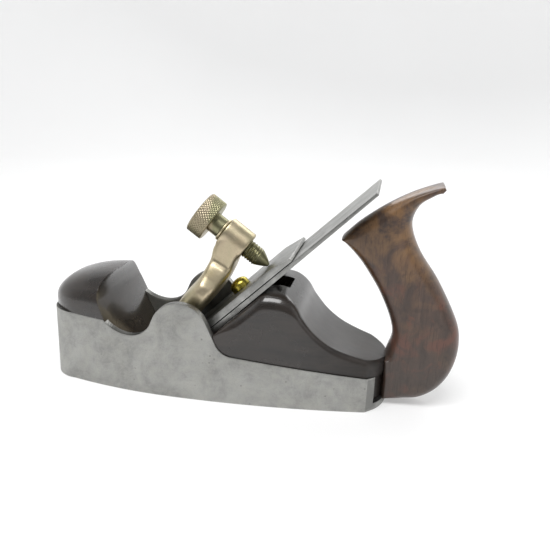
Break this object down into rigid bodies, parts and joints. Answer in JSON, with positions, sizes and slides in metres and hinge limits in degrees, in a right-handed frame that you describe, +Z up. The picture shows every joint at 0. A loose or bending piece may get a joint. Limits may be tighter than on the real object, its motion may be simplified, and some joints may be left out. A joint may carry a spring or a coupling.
{
  "type": "infill smoothing plane",
  "caption": "Coffin-sided infill smoothing plane with a cast body, dark wood infills, an open rear handle, a tapered iron with cap iron and a pivoted lever cap with a knurled screw.",
  "frame": {"origin": "middle of the mouth at the cutting edge, on the plane of the sole", "axes": "+X towards the heel and handle, +Y across to the far side wall, +Z up from the sole"},
  "size_m": [0.2514, 0.0724, 0.1342],
  "materials": {
    "grey_iron": "satin, worn and finely pitted",
    "dark_wood": "polished ebony",
    "red_wood": "polished rosewood",
    "bright_steel": "ground, scratched",
    "yellow_brass": "polished",
    "bronze": "aged, satin"
  },
  "bodies": {
    "root": {"body_casting": "grey_iron", "front_infill": "dark_wood", "rear_infill": "dark_wood", "handle": "red_wood", "handle_dowel_fore": "red_wood", "handle_dowel_aft": "red_wood", "front_rivet_fore": "bright_steel", "front_rivet_aft": "bright_steel", "rear_rivet_fore": "bright_steel", "rear_rivet_middle": "bright_steel", "rear_rivet_aft": "bright_steel", "lever_cap_pin": "bright_steel"},
    "iron": {"cutting_iron": "bright_steel"},
    "cap_iron": {"cap_iron": "bright_steel", "cap_iron_boss": "yellow_brass"},
    "cap_screw": {"cap_iron_screw": "bright_steel"},
    "lever": {"lever_cap": "bronze"},
    "washer": {"screw_washer": "bronze"},
    "screw": {"thumb_screw": "bronze"}
  },
  "joints": [
    {"name": "iron_slide", "type": "slide", "parent": "root", "child": "iron", "axis": [0.7071, 0, 0.7071], "range_m": [-0.0005, 0.006]},
    {"name": "cap_iron_set", "type": "slide", "parent": "iron", "child": "cap_iron", "axis": [0.7154, 0, 0.6987], "range_m": [-0.001, 0.003]},
    {"name": "cap_screw_turn", "type": "hinge", "parent": "cap_iron", "child": "cap_screw", "pos_m": [0.05938, 0, 0.0581], "axis": [-0.6987, 0, 0.7154], "range_deg": [0, 180]},
    {"name": "lever_tilt", "type": "hinge", "parent": "root", "child": "lever", "pos_m": [0.024, 0, 0.045], "axis": [0, 1, 0], "range_deg": [0, 2.86]},
    {"name": "screw_travel", "type": "slide", "parent": "lever", "child": "washer", "axis": [-0.8241, 0, 0.5664], "range_m": [0, 0.003]},
    {"name": "screw_turn", "type": "hinge", "parent": "washer", "child": "screw", "pos_m": [0.07221, 0, 0.07759], "axis": [-0.8241, 0, 0.5664], "range_deg": [0, 618]}
  ],
  "couplings": [
    {"joint": "lever_tilt", "follows": "screw_travel", "rad_per_m": 16.5},
    {"joint": "screw_turn", "follows": "screw_travel", "rad_per_m": 3590.4}
  ]
}
